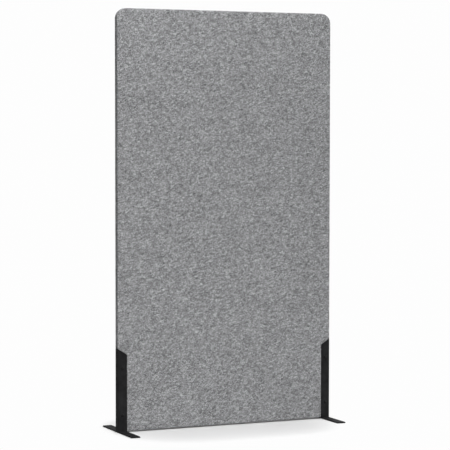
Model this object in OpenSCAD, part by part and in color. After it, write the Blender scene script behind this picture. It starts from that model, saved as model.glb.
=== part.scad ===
// Free-standing acoustic divider screen: an upholstered panel on two steel feet.
// X runs along the panel, Y from the front to the back, Z up from the floor.
// The origin is on the floor, under the middle of the panel.

/* [Screen] */
// Width over the felt
screen_w = 1000; // [600:10:1400]
// Height from the floor to the top of the felt
screen_h = 1780; // [1200:10:2000]
// Clearance between a foot's plate and the panel's lower edge
panel_lift = 1; // [0.5:0.5:10]

/* [Timber frame] */
// Thickness of the frame and of the sound-absorbing core
frame_t = 20; // [12:1:40]
// Width of the two upright stiles
stile_w = 50; // [44:1:90]
// Height of the top, middle and bottom rails
rail_h = 50; // [44:1:90]
// Radius of the frame's two top corners
frame_corner_r = 41; // [10:1:43]
// Fitting gap around the core slabs
core_gap = 0.3; // [0.1:0.1:0.8]

/* [Dowels] */
// Diameter of the beech dowels
dowel_d = 8; // [4:0.5:8]
// Length of a dowel
dowel_l = 30; // [16:1:32]
// Glue clearance around a dowel
dowel_clear = 0.1; // [0.05:0.05:0.3]
// Depth left free beyond a dowel's end
dowel_end_gap = 0.5; // [0.2:0.1:0.9]

/* [Padding and felt] */
// Thickness of the fleece on each face of the frame
fleece_t = 2; // [1:0.5:6]
// Thickness of the felt cover
felt_t = 3; // [2:0.5:6]
// Thickness that the felt keeps where a foot presses it
felt_pressed_t = 1; // [0.5:0.1:1.8]

/* [Bottom strip] */
// Width of the strip that closes the covers under the panel
strip_w = 16; // [12:1:24]
// Thickness of the strip
strip_t = 0.8; // [0.4:0.1:1.2]
// Distance from a foot to the strip's end
strip_end_gap = 5; // [1:1:60]
// Number of staples in the strip
staple_count = 12; // [2:1:40]
// Distance between a staple's legs
staple_w = 10; // [6:0.5:11]
// Length of a staple's legs
staple_l = 9; // [5:0.5:14]
// Thickness of the staple wire
staple_wire = 0.9; // [0.5:0.1:1.4]

/* [Foot brackets] */
// Height of a bracket at its outer fold
bracket_h = 350; // [200:5:500]
// Fall of the sloped top from the fold to the flange's inner edge
bracket_fall = 26; // [5:1:80]
// Width of a flange, measured over the fold
flange_w = 41; // [30:1:60]
// Thickness of the bracket's sheet steel
sheet_t = 2; // [1:0.5:4]
// Inner radius of the two folds
fold_r = 1; // [0.5:0.5:2]

/* [Base plates] */
// Length of a base plate, from front to back
plate_l = 340; // [200:10:500]
// Width of a base plate
plate_w = 40; // [34:1:60]
// Thickness of a base plate
plate_t = 4; // [3:0.5:10]
// Radius of a base plate's corners
plate_corner_r = 3; // [1:0.5:10]
// Leg length of the fillet welds
weld_leg = 3; // [1:0.5:5]
// Distance from the flange's edges to the ends of a weld
weld_inset = 3; // [1:0.5:8]

/* [Floor pads] */
// Diameter of a floor pad
pad_d = 30; // [15:1:32]
// Thickness of a floor pad
pad_t = 1; // [0.5:0.5:4]
// Distance from the end of a plate to the pad's rim
pad_inset = 5; // [2:1:40]

/* [Connector bolts] */
// Height of the lower bolts above the base plate
bolt_z = 68; // [40:1:110]
// Distance between the lower and the upper bolts
bolt_pitch = 200; // [60:5:200]
// Diameter of the bolt
bolt_d = 6; // [4:0.5:7]
// Length of the bolt under its head
bolt_l = 20; // [12:1:22]
// Diameter of the bolt's and the sleeve nut's domed heads
bolt_head_d = 15; // [12:0.5:18]
// Thickness of the domed heads
bolt_head_t = 2; // [1.2:0.1:4]
// Width across the flats of the hexagon socket
socket_w = 4; // [2.5:0.5:6]
// Depth of the hexagon socket
socket_deep = 1.4; // [0.6:0.1:1.8]
// Outer diameter of the sleeve nut's barrel
barrel_d = 9; // [8:0.5:10]
// Length of the sleeve nut's barrel
barrel_l = 22; // [12:1:24]
// Radial clearance of bolts and barrels in their holes
hole_clear = 0.25; // [0.1:0.05:0.5]
// Radial clearance of the bolt in the sleeve nut
thread_clear = 0.05; // [0.02:0.01:0.1]

/* [Hidden] */
$fn = 64;
cut_over = 1;

// Heights of the foot and of the panel
plate_z = pad_t;
foot_z = plate_z + plate_t;
panel_z = foot_z + panel_lift;

// The panel's layers from the middle outwards: frame, fleece, felt
core_t = frame_t + 2 * fleece_t;
panel_t = core_t + 2 * felt_t;
frame_w = screen_w - 2 * felt_t;
edge_r = fleece_t + felt_t;
frame_z = panel_z + felt_t;
frame_top_z = screen_h - felt_t;
frame_h = frame_top_z - frame_z;
stile_h = frame_h - rail_h;
stile_x = frame_w / 2 - stile_w;
rail_l = 2 * stile_x;
top_rail_z = frame_top_z - rail_h;
middle_rail_z = frame_z + (frame_h - rail_h) / 2;

// Dowel places, as shares of the board that they enter
rail_dowel_shares = [0.26, 0.74];
corner_dowel_shares = [0.5, 0.8];
dowel_bore_d = dowel_d + 2 * dowel_clear;
dowel_bore_l = dowel_l + 2 * dowel_end_gap;
dowel_chamfer_share = 0.12;

// The foot's channel grips the panel through the pressed felt
felt_sink = felt_t - felt_pressed_t;
grip_t = panel_t - 2 * felt_sink;
grip_x = screen_w / 2 - felt_sink;
channel_t = grip_t + 2 * sheet_t;
foot_x = grip_x + sheet_t;
flange_edge_x = foot_x - flange_w;
bolt_x = foot_x - flange_w / 2;
plate_x = foot_x - plate_w / 2;
bolt_heights = [foot_z + bolt_z, foot_z + bolt_z + bolt_pitch];
barrel_hole_d = barrel_d + 2 * hole_clear;
bolt_hole_d = bolt_d + 2 * hole_clear;
head_dome_share = 0.7;

strip_l = 2 * (flange_edge_x - strip_end_gap);
staple_step = strip_l / staple_count;
staple_slot = staple_wire * 1.1;

felt_colour = [0.55, 0.55, 0.56];
timber_colour = [0.80, 0.66, 0.45];
dowel_colour = [0.86, 0.74, 0.54];
fleece_colour = [0.92, 0.92, 0.90];
core_colour = [0.82, 0.78, 0.55];
black_steel_colour = [0.10, 0.10, 0.105];
zinc_colour = [0.62, 0.63, 0.65];
strip_colour = [0.16, 0.16, 0.17];
rubber_colour = [0.08, 0.08, 0.08];

// Turns a flat outline drawn as width and height into an upright slab centred on Y
module upright(thick) {
    translate([0, thick / 2, 0])
        rotate([90, 0, 0])
            linear_extrude(thick) children();
}

// Section through one half of a soft layer at the panel's edge, from a corner's centre
// outwards; the depth counts from the panel's middle. The layer lies between two
// radii round the frame's edge, and a felt wall runs on to the middle of the edge.
module layer_section(reach, inner_r, outer_r, walled) {
    turn_u = reach - (walled ? edge_r : fleece_t);
    turn_v = frame_t / 2;
    if (turn_u > 0)
        translate([0, turn_v + inner_r]) square([turn_u, outer_r - inner_r]);
    translate([turn_u, turn_v]) intersection() {
        difference() {
            circle(r = outer_r);
            if (inner_r > 0) circle(r = inner_r);
        }
        square(outer_r);
    }
    if (walled) translate([turn_u + inner_r, 0]) square([outer_r - inner_r, turn_v]);
}

// Half of a soft layer: a flat sheet whose edge turns over the frame all the way round
module soft_layer(face, inner_r, outer_r, walled) {
    rim = walled ? edge_r : fleece_t;
    width = walled ? screen_w : frame_w;
    bottom = walled ? panel_z : frame_z;
    top = walled ? screen_h : frame_top_z;
    top_r = frame_corner_r + (walled ? felt_t : 0);
    long = top - bottom - top_r - rim;
    mirror([0, face > 0 ? 1 : 0, 0]) rotate([90, 0, 0]) {
        translate([0, 0, frame_t / 2 + inner_r]) linear_extrude(outer_r - inner_r) {
            translate([rim - width / 2, bottom + rim]) square([width - 2 * rim, long]);
            translate([top_r - width / 2, bottom + rim + long])
                square([width - 2 * top_r, top_r]);
        }
        for (side = [-1, 1]) mirror([side > 0 ? 0 : 1, 0, 0]) {
            translate([width / 2 - rim, top - top_r, 0])
                rotate([90, 0, 0])
                    linear_extrude(long) layer_section(rim, inner_r, outer_r, walled);
            translate([width / 2 - top_r, top - top_r, 0])
                rotate_extrude(angle = 90) layer_section(top_r, inner_r, outer_r, walled);
            translate([width / 2 - rim, bottom + rim, 0])
                rotate([0, 0, -90])
                    rotate_extrude(angle = 90)
                        layer_section(rim, inner_r, outer_r, walled);
        }
        translate([top_r - width / 2, top - rim, 0]) rotate([0, 0, 90])
            rotate([90, 0, 0])
                linear_extrude(width - 2 * top_r)
                    layer_section(rim, inner_r, outer_r, walled);
        translate([width / 2 - rim, bottom + rim, 0]) rotate([0, 0, -90])
            rotate([90, 0, 0])
                linear_extrude(width - 2 * rim)
                    layer_section(rim, inner_r, outer_r, walled);
    }
}

// One row of round holes along Y at the four bolt places
module bolt_bores(hole_d) {
    for (side = [-1, 1], z = bolt_heights)
        translate([side * bolt_x, panel_t, z])
            rotate([90, 0, 0]) cylinder(d = hole_d, h = 2 * panel_t);
}

// Dowels or their bores: two in each joint between the frame's boards
module dowel_set(d, l, chamfer) {
    for (side = [-1, 1]) {
        for (z = [frame_z, middle_rail_z, top_rail_z], share = rail_dowel_shares)
            translate([side * stile_x, 0, z + share * rail_h])
                rotate([0, 90, 0]) dowel(d, l, chamfer);
        for (share = corner_dowel_shares)
            translate([side * (stile_x + share * stile_w), 0, top_rail_z])
                dowel(d, l, chamfer);
    }
}

// One dowel, centred on its joint
module dowel(d, l, chamfer) {
    translate([0, 0, -l / 2]) {
        translate([0, 0, chamfer]) cylinder(d = d, h = l - 2 * chamfer);
        if (chamfer > 0) {
            cylinder(d1 = d - 2 * chamfer, d2 = d, h = chamfer);
            translate([0, 0, l - chamfer])
                cylinder(d1 = d, d2 = d - 2 * chamfer, h = chamfer);
        }
    }
}

// Upright board; its lower outer corner is eased to fit the felt
module stile(side) {
    color(timber_colour) difference() {
        mirror([side > 0 ? 0 : 1, 0, 0]) upright(frame_t) {
            translate([stile_x, frame_z + fleece_t])
                square([stile_w, stile_h - fleece_t]);
            translate([stile_x, frame_z]) square([stile_w - fleece_t, stile_h]);
            translate([stile_x + stile_w - fleece_t, frame_z + fleece_t])
                circle(r = fleece_t);
        }
        dowel_set(dowel_bore_d, dowel_bore_l, 0);
        bolt_bores(barrel_hole_d);
    }
}

module rail(bottom, holes_for_staples = false) {
    color(timber_colour) difference() {
        translate([-rail_l / 2, -frame_t / 2, bottom]) cube([rail_l, frame_t, rail_h]);
        dowel_set(dowel_bore_d, dowel_bore_l, 0);
        if (holes_for_staples) staple_slots();
    }
}

// Quarter-round block that turns the corner between a stile and the top rail
module corner_block(side) {
    centre_x = frame_w / 2 - frame_corner_r;
    centre_z = frame_top_z - frame_corner_r;
    color(timber_colour) difference() {
        upright(frame_t) {
            translate([side > 0 ? stile_x : -stile_x - stile_w, top_rail_z])
                square([stile_w, rail_h - frame_corner_r]);
            translate([side > 0 ? stile_x : -centre_x, top_rail_z])
                square([stile_w - frame_corner_r, rail_h]);
            intersection() {
                translate([side * centre_x, centre_z]) circle(r = frame_corner_r);
                translate([side > 0 ? stile_x : -stile_x - stile_w, top_rail_z])
                    square([stile_w, rail_h]);
            }
        }
        dowel_set(dowel_bore_d, dowel_bore_l, 0);
    }
}

module frame_dowels() {
    color(dowel_colour) dowel_set(dowel_d, dowel_l, dowel_d * dowel_chamfer_share);
}

// Sound-absorbing slab that fills one bay of the frame
module core_slab(bottom, top) {
    color(core_colour)
        translate([core_gap - stile_x, -frame_t / 2, bottom + core_gap])
            cube([rail_l - 2 * core_gap, frame_t, top - bottom - 2 * core_gap]);
}

// Fleece over one face, wrapped round the frame's edge
module fleece(face) {
    color(fleece_colour) difference() {
        soft_layer(face, 0, fleece_t, false);
        bolt_bores(barrel_hole_d);
    }
}

// Half of the felt cover: it wraps the edge up to the seam in the middle of the edge
module felt_cover(face) {
    color(felt_colour) difference() {
        soft_layer(face, fleece_t, edge_r, true);
        for (side = [-1, 1]) bracket_blank(side, cut_over);
        bolt_bores(barrel_hole_d);
        staple_slots();
    }
}

module bottom_strip() {
    color(strip_colour) difference() {
        translate([-strip_l / 2, -strip_w / 2, panel_z - strip_t])
            cube([strip_l, strip_w, strip_t]);
        staple_slots();
    }
}

// Places of the staples along the strip
module at_staples() {
    for (i = [0 : staple_count - 1])
        translate([(i + 0.5) * staple_step - strip_l / 2, 0, panel_z - strip_t]) children();
}

module staple_slots() {
    at_staples()
        for (side = [-1, 1])
            translate([-staple_slot / 2, side * staple_w / 2 - staple_slot / 2, -cut_over])
                cube([staple_slot, staple_slot, staple_l + cut_over + staple_wire]);
}

module strip_staples() {
    color(zinc_colour) at_staples() translate([-staple_wire / 2, 0, 0]) {
        translate([0, -(staple_w + staple_wire) / 2, -staple_wire])
            cube([staple_wire, staple_w + staple_wire, staple_wire]);
        for (side = [-1, 1])
            translate([0, (side * staple_w - staple_wire) / 2, -staple_wire])
                cube([staple_wire, staple_wire, staple_l + staple_wire]);
    }
}

// Section of the folded channel, open towards the middle of the screen
module channel_section(side, proud) {
    mirror([side > 0 ? 0 : 1, 0]) difference() {
        folded_outline(flange_edge_x, foot_x + proud, channel_t + 2 * proud,
            fold_r + sheet_t + proud);
        folded_outline(flange_edge_x - cut_over, grip_x, grip_t, fold_r);
    }
}

// Rectangle from a start out to a web, with the two fold corners rounded
module folded_outline(start_x, web_x, thick, corner_r) {
    translate([start_x, -thick / 2]) square([web_x - start_x - corner_r, thick]);
    translate([start_x, corner_r - thick / 2])
        square([web_x - start_x, thick - 2 * corner_r]);
    for (y = [-1, 1])
        translate([web_x - corner_r, y * (thick / 2 - corner_r)]) circle(r = corner_r);
}

// The channel with its sloped top, before any hole is made. A cutter for the felt
// is the same channel, standing proud outside.
module bracket_blank(side, proud = 0) {
    slope = atan(bracket_fall / flange_w);
    difference() {
        translate([0, 0, foot_z])
            linear_extrude(bracket_h + proud) channel_section(side, proud);
        mirror([side > 0 ? 0 : 1, 0, 0])
            translate([foot_x, 0, foot_z + bracket_h])
                rotate([0, -slope, 0])
                    mirror([1, 0, 0])
                        translate([-flange_w, -channel_t, 0])
                            cube([3 * flange_w, 2 * channel_t, bracket_h]);
    }
}

module foot_bracket(side) {
    color(black_steel_colour) difference() {
        bracket_blank(side);
        for (z = bolt_heights) translate([side * bolt_x, 0, z]) {
            rotate([90, 0, 0]) cylinder(d = bolt_hole_d, h = channel_t);
            rotate([-90, 0, 0]) cylinder(d = barrel_hole_d, h = channel_t);
        }
    }
}

module base_plate(side) {
    long = plate_l / 2 - plate_corner_r;
    wide = plate_w / 2 - plate_corner_r;
    color(black_steel_colour)
        translate([side * plate_x, 0, plate_z]) linear_extrude(plate_t) {
            square([2 * wide, plate_l], center = true);
            square([plate_w, 2 * long], center = true);
            for (x = [-1, 1], y = [-1, 1])
                translate([x * wide, y * long]) circle(r = plate_corner_r);
        }
}

// Fillet welds between the plate and the feet of the two flanges
module weld_beads(side) {
    start_x = foot_x - min(flange_w, plate_w) + weld_inset;
    weld_l = foot_x - fold_r - sheet_t - weld_inset - start_x;
    color(black_steel_colour)
        mirror([side > 0 ? 0 : 1, 0, 0])
            for (face = [-1, 1])
                translate([start_x, face * channel_t / 2, foot_z])
                    mirror([0, face > 0 ? 0 : 1, 0])
                        rotate([90, 0, 90])
                            linear_extrude(weld_l)
                                polygon([[0, 0], [weld_leg, 0], [0, weld_leg]]);
}

// Low domed head with a hexagon socket, its seat on Z = 0
module domed_head() {
    dome_h = bolt_head_t * head_dome_share;
    dome_r = (pow(bolt_head_d / 2, 2) + pow(dome_h, 2)) / (2 * dome_h);
    difference() {
        intersection() {
            cylinder(d = bolt_head_d, h = bolt_head_t);
            translate([0, 0, bolt_head_t - dome_r]) sphere(r = dome_r, $fn = 2 * $fn);
        }
        translate([0, 0, bolt_head_t - socket_deep])
            cylinder(d = socket_w / cos(30), h = socket_deep + cut_over, $fn = 6);
    }
}

module connector_bolts() {
    color(black_steel_colour)
        for (side = [-1, 1], z = bolt_heights)
            translate([side * bolt_x, -channel_t / 2, z]) {
                rotate([90, 0, 0]) domed_head();
                rotate([-90, 0, 0]) cylinder(d = bolt_d, h = bolt_l);
            }
}

module sleeve_nuts() {
    color(black_steel_colour)
        for (side = [-1, 1], z = bolt_heights)
            translate([side * bolt_x, channel_t / 2, z]) {
                rotate([-90, 0, 0]) domed_head();
                rotate([90, 0, 0]) difference() {
                    cylinder(d = barrel_d, h = barrel_l);
                    translate([0, 0, bolt_head_t])
                        cylinder(d = bolt_d + 2 * thread_clear, h = barrel_l);
                }
            }
}

module floor_pads() {
    color(rubber_colour)
        for (side = [-1, 1], face = [-1, 1])
            translate([side * plate_x, face * (plate_l / 2 - pad_inset - pad_d / 2), 0])
                cylinder(d = pad_d, h = pad_t);
}

stile(-1);  // frame_stile_left
stile(1);  // frame_stile_right
rail(top_rail_z);  // frame_top_rail
rail(middle_rail_z);  // frame_middle_rail
rail(frame_z, true);  // frame_bottom_rail
corner_block(-1);  // frame_corner_block_left
corner_block(1);  // frame_corner_block_right
frame_dowels();
core_slab(middle_rail_z + rail_h, top_rail_z);  // core_slab_upper
core_slab(frame_z + rail_h, middle_rail_z);  // core_slab_lower
fleece(-1);  // fleece_front
fleece(1);  // fleece_rear
felt_cover(-1);  // felt_cover_front
felt_cover(1);  // felt_cover_rear
bottom_strip();
strip_staples();
foot_bracket(-1);  // foot_bracket_left
foot_bracket(1);  // foot_bracket_right
base_plate(-1);  // base_plate_left
base_plate(1);  // base_plate_right
weld_beads(-1);  // weld_beads_left
weld_beads(1);  // weld_beads_right
connector_bolts();
sleeve_nuts();
floor_pads();
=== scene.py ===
"""Free-standing acoustic divider screen: a felt-covered panel held by two black steel feet."""
import math

import bpy
from mathutils import Matrix, Vector, noise


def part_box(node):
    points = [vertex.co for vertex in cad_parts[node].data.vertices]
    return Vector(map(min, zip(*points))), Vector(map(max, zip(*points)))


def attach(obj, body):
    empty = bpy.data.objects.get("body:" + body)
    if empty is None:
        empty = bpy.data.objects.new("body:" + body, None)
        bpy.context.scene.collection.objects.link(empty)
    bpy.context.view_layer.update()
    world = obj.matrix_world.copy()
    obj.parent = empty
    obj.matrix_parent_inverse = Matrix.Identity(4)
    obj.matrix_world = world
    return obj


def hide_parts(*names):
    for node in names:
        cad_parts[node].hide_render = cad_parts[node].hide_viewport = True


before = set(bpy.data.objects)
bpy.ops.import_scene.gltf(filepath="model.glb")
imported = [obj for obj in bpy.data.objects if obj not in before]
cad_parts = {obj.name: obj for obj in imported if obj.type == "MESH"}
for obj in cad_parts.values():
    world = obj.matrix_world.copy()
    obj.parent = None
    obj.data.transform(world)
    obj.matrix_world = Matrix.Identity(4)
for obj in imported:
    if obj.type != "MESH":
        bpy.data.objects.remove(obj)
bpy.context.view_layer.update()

# Camera. The screen is seen from its front left, a little over seven metres away, with the
# lens at chest height and tipped down by about three degrees.
eye_place = Vector((-3.28253, -7.27349, 1.2696))
eye_turn = math.radians(-24.2892)
eye_tip = math.radians(90 - 2.89859)
eye_roll = math.radians(0.03889)
camera_data = bpy.data.cameras.new("camera")
camera_data.sensor_width = 36
camera_data.lens = 148.568
camera = bpy.data.objects.new("camera", camera_data)
bpy.context.scene.collection.objects.link(camera)
camera.matrix_world = (
    Matrix.Translation(eye_place)
    @ Matrix.Rotation(eye_turn, 4, "Z")
    @ Matrix.Rotation(eye_tip, 4, "X")
    @ Matrix.Rotation(eye_roll, 4, "Z")
)
bpy.context.scene.camera = camera


# Timber frame. Two stiles and three rails of planed pine carry the panel. The boards are
# butted and dowelled, and their grain runs along each board.
timber_pale = (0.78, 0.60, 0.37, 1)
timber_dark = (0.50, 0.31, 0.15, 1)


def new_finish(name, roughness, **plain):
    """An empty finish: its material, its node tree and its surface shader with plain values."""
    finish = bpy.data.materials.new(name)
    finish.use_nodes = True
    surface = finish.node_tree.nodes["Principled BSDF"]
    surface.inputs["Roughness"].default_value = roughness
    for words, value in plain.items():
        surface.inputs[words.replace("_", " ")].default_value = value
    return finish, finish.node_tree, surface


def add_node(tree, kind, **settings):
    """One shader node. Settings with a capital letter are its sockets, the others its options."""
    node = tree.nodes.new("ShaderNode" + kind)
    for words, value in settings.items():
        if words[0].isupper():
            node.inputs[words.replace("_", " ")].default_value = value
        else:
            setattr(node, words, value)
    return node


def placed(tree, size=(1, 1, 1), turn=(0, 0, 0), shift=(0, 0, 0)):
    """The piece's own coordinates, turned, and counted in steps of a size in metres."""
    place = add_node(tree, "TexCoord")
    mapping = add_node(tree, "Mapping", vector_type="TEXTURE", Location=shift, Scale=size)
    mapping.inputs["Rotation"].default_value = turn
    tree.links.new(place.outputs["Object"], mapping.inputs["Vector"])
    return mapping.outputs["Vector"]


def pattern(tree, vector, scale, detail=2.0, rough=0.5, warp=0.0):
    """The strength of a cloudy pattern, with an even spread about one half."""
    cloud = add_node(tree, "TexNoise", Scale=scale, Detail=detail, Roughness=rough, Distortion=warp)
    tree.links.new(vector, cloud.inputs["Vector"])
    return cloud.outputs["Fac"]


def tones(tree, strength, stops):
    """A colour for each strength, from a list of places and colours."""
    ramp = add_node(tree, "ValToRGB")
    elements = ramp.color_ramp.elements
    while len(elements) < len(stops):
        elements.new(0.5)
    for element, (position, colour) in zip(elements, stops):
        element.position = position
        element.color = colour
    tree.links.new(strength, ramp.inputs["Fac"])
    return ramp.outputs["Color"]


def relief(tree, surface, height, depth, strength=1.0):
    """Bump on a surface shader; depth is in metres for a height that runs from 0 to 1."""
    bump = add_node(tree, "Bump", Strength=strength, Distance=depth)
    tree.links.new(height, bump.inputs["Height"])
    tree.links.new(bump.outputs["Normal"], surface.inputs["Normal"])


def blended(tree, first, second, share):
    """Two strengths mixed, with the second one's share."""
    blend = add_node(tree, "Mix", data_type="FLOAT", Factor=share)
    tree.links.new(first, blend.inputs["A"])
    tree.links.new(second, blend.inputs["B"])
    return blend.outputs["Result"]


def timber_finish(name, along):
    """Planed softwood with its growth rings drawn out along one axis."""
    finish, tree, surface = new_finish(name, 0.6)
    ring_size = [0.038, 0.038, 0.038]
    ring_size["XYZ".index(along)] = 0.8
    grain_place = placed(tree, size=ring_size)
    rings = add_node(tree, "TexWave", Scale=1.4, Distortion=7.0, Detail=3.0)
    rings.inputs["Detail Scale"].default_value = 0.7
    tree.links.new(grain_place, rings.inputs["Vector"])
    fibre_size = [0.0011, 0.0011, 0.0011]
    fibre_size["XYZ".index(along)] = 0.045
    fibres = pattern(tree, placed(tree, size=fibre_size), 1.0, 3.0)
    grain = blended(tree, rings.outputs["Fac"], fibres, 0.35)
    colour = tones(tree, grain, [(0.15, timber_dark), (0.75, timber_pale)])
    tree.links.new(colour, surface.inputs["Base Color"])
    relief(tree, surface, grain, 0.0002)
    return finish


def dress(node, finish):
    """Gives a carried-over piece its finish in place of its plain one."""
    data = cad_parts[node].data
    data.materials.clear()
    data.materials.append(finish)


upright_timber = timber_finish("pine_upright", "Z")
level_timber = timber_finish("pine_level", "X")
for node in ("frame_stile_left", "frame_stile_right"):
    dress(node, upright_timber)
for node in ("frame_top_rail", "frame_middle_rail", "frame_bottom_rail"):
    dress(node, level_timber)


# Corner blocks. The rounded top corners are cut from plywood, so that the curve has no
# weak short grain; the layers show as stripes across the thickness.
ply_thickness = 0.002


def plywood_finish():
    finish, tree, surface = new_finish("plywood", 0.65)
    stripe_scale = math.pi / (20 * ply_thickness)
    layers = add_node(tree, "TexWave", bands_direction="Y", Scale=stripe_scale, Distortion=0.4)
    tree.links.new(placed(tree), layers.inputs["Vector"])
    fibres = pattern(tree, placed(tree, size=(0.0011, 0.016, 0.016)), 1.0, 3.0)
    grain = blended(tree, layers.outputs["Fac"], fibres, 0.4)
    stops = [(0.2, (0.42, 0.27, 0.14, 1)), (0.7, (0.74, 0.58, 0.38, 1))]
    tree.links.new(tones(tree, grain, stops), surface.inputs["Base Color"])
    relief(tree, surface, grain, 0.0003)
    return finish


plywood = plywood_finish()
for node in ("frame_corner_block_left", "frame_corner_block_right"):
    dress(node, plywood)


# Dowels. Sixteen beech pegs join the frame; beech has short dark flecks and no rings.
def flecked_finish(name, roughness, size, stops, depth, cloud=(2.0, 0.5, 0.0), **plain):
    """A finish whose colour and relief both come from one cloudy pattern."""
    finish, tree, surface = new_finish(name, roughness, **plain)
    flecks = pattern(tree, placed(tree, size=size), 1.0, *cloud)
    tree.links.new(tones(tree, flecks, stops), surface.inputs["Base Color"])
    relief(tree, surface, flecks, depth)
    return finish


beech_tones = [(0.3, (0.55, 0.38, 0.23, 1)), (0.62, (0.80, 0.64, 0.46, 1))]
beech = flecked_finish("beech", 0.5, (0.004, 0.0004, 0.0004), beech_tones, 0.0001)
dress("frame_dowels", beech)


# Sound-absorbing slabs. Each bay of the frame holds a slab of matted mineral fibre.
def slab_finish():
    finish, tree, surface = new_finish("mineral_fibre", 0.95)
    lumps = pattern(tree, placed(tree), 70, 4.0, 0.6)
    strands = pattern(tree, placed(tree, size=(0.002, 0.00045, 0.00125)), 1.0, 2.0, warp=1.5)
    matting = blended(tree, lumps, strands, 0.5)
    stops = [(0.3, (0.46, 0.41, 0.22, 1)), (0.68, (0.78, 0.74, 0.55, 1))]
    tree.links.new(tones(tree, matting, stops), surface.inputs["Base Color"])
    relief(tree, surface, matting, 0.0012)
    return finish


mineral_fibre = slab_finish()
for node in ("core_slab_upper", "core_slab_lower"):
    dress(node, mineral_fibre)


# Fleece. A thin white polyester fleece is glued over both faces and turned over the frame's
# edge, so that the boards don't show through the felt.
fleece_tones = [(0.3, (0.70, 0.70, 0.68, 1)), (0.65, (0.90, 0.90, 0.88, 1))]
fleece = flecked_finish(
    "fleece",
    roughness=0.95,
    size=(0.003, 0.003, 0.003),
    stops=fleece_tones,
    depth=0.0006,
    cloud=(4.0, 0.65, 1.2),
    Sheen_Weight=0.3,
)
for node in ("fleece_front", "fleece_rear"):
    dress(node, fleece)


# Felt covers. Grey melange wool felt, three millimetres thick, is pulled over the fleece on
# each face and turned over the edge to a seam in the middle of it. The feet press it flat,
# and it swells a little beside them.
cover_low, cover_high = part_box("felt_cover_front")
foot_low, foot_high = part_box("foot_bracket_right")
felt_t = 0.003
edge_r = 0.005
corner_r = 0.044
felt_cell = 0.0047
half_w = cover_high.x - edge_r
flat_bottom = cover_low.z + edge_r
flat_top = cover_high.z - edge_r
flat_corner_r = corner_r - edge_r
face_y = -cover_low.y


def outline_normal(x, z):
    """The direction away from the panel's outline, along the face, near a point of the rim."""
    top_half = z > (flat_bottom + flat_top) / 2
    turn_r = flat_corner_r if top_half else felt_cell
    centre = Vector((
        max(-half_w + turn_r, min(half_w - turn_r, x)),
        min(z, flat_top - turn_r) if top_half else max(z, flat_bottom + turn_r),
    ))
    return (Vector((x, z)) - centre).normalized()


# A foot's outline on the felt, and how the felt sinks under it and swells beside it.
flange_edge = foot_low.x
foot_fall = 0.026
foot_slope = math.atan2(foot_fall, foot_high.x - foot_low.x)
foot_touch = 0.0001
foot_reach = 0.01
foot_roll = 0.0025
felt_sink = 0.002
foot_swell = 0.0004
swell_away = 0.006
swell_width = 0.005


def beyond_foot(x, z):
    """How far a point of the felt lies outside a foot's outline; below zero it is under it."""
    slope_z = foot_high.z - (foot_high.x - min(abs(x), foot_high.x)) * math.tan(foot_slope)
    beside = flange_edge - abs(x)
    above = (z - slope_z) * math.cos(foot_slope)
    if beside > 0 and above > 0:
        return math.hypot(beside, above)
    return max(beside, above)


def clear_of_foot(x, z):
    """Zero under a foot, and one where the felt no longer feels it."""
    return min(1, max(0, beyond_foot(x, z)) / foot_reach)


def foot_press(away):
    """How deep a foot presses the felt: fully under it, and less over a short roll beside it."""
    if away <= foot_touch:
        return felt_sink
    if away < foot_roll:
        return felt_sink * (1 - math.sqrt(1 - (1 - away / foot_roll) ** 2))
    return 0.0


# The felt's own unevenness: lumps and slanted ridges, with how many come to a metre. The
# seed keeps the ridges' drift the same in every run.
lump_rise = 0.00020
lumps_per_m = 22
ridge_rise = 0.00032
ridges_per_m = (60, 105)
ridge_lean = (0.94, 0.34)
drift_reach = 0.012
drifts_per_m = 45
drift_seed = 3
noise.seed_set(drift_seed)


def felt_height(x, z, seed):
    """The felt's lift off its plain face: soft lumps, short ridges and the marks of the feet."""
    place = Vector((x, seed, z))
    lumps = noise.noise(place * lumps_per_m) * lump_rise
    drift = noise.noise_vector(place * drifts_per_m) * drift_reach
    level, lean = ridge_lean
    turned = Vector((level * x + lean * z, seed, level * z - lean * x)) + drift
    ridge_x, ridge_z = turned.x * ridges_per_m[0], turned.z * ridges_per_m[1]
    ridges = noise.noise(Vector((ridge_x, seed * 7, ridge_z))) * ridge_rise
    away = beyond_foot(x, z)
    if away <= foot_touch:
        return -felt_sink
    swell = foot_swell * math.exp(-((away - swell_away) / swell_width) ** 2)
    return (lumps + ridges) * min(1, away / foot_reach) + swell - foot_press(away)


def select_where(piece, test):
    """Selects the faces whose centre passes a test, and nothing else."""
    bpy.ops.mesh.select_mode(type="FACE")
    bpy.ops.mesh.select_all(action="DESELECT")
    bpy.ops.object.mode_set(mode="OBJECT")
    for face in piece.data.polygons:
        face.select = test(face.center)
    bpy.ops.object.mode_set(mode="EDIT")


def rim_offset(x, z):
    """How far a point lies outside the flat part's outline."""
    top_half = z > (flat_bottom + flat_top) / 2
    turn_r = flat_corner_r if top_half else felt_cell
    across = max(0, abs(x) - (half_w - turn_r))
    along = max(0, z - (flat_top - turn_r)) if top_half else max(0, flat_bottom + turn_r - z)
    return math.hypot(across, along) - turn_r


def round_corner(point, centre_z, turn_r, up):
    """Draws the square corner of a grid in to a round one."""
    across = (abs(point.x) - half_w + turn_r) / turn_r
    along = up * (point.z - centre_z) / turn_r
    if across > 0 and along > 0:
        side = math.copysign(1, point.x)
        point.x = side * (half_w - turn_r + turn_r * across * math.sqrt(1 - along**2 / 2))
        point.z = centre_z + up * turn_r * along * math.sqrt(1 - across**2 / 2)


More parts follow.
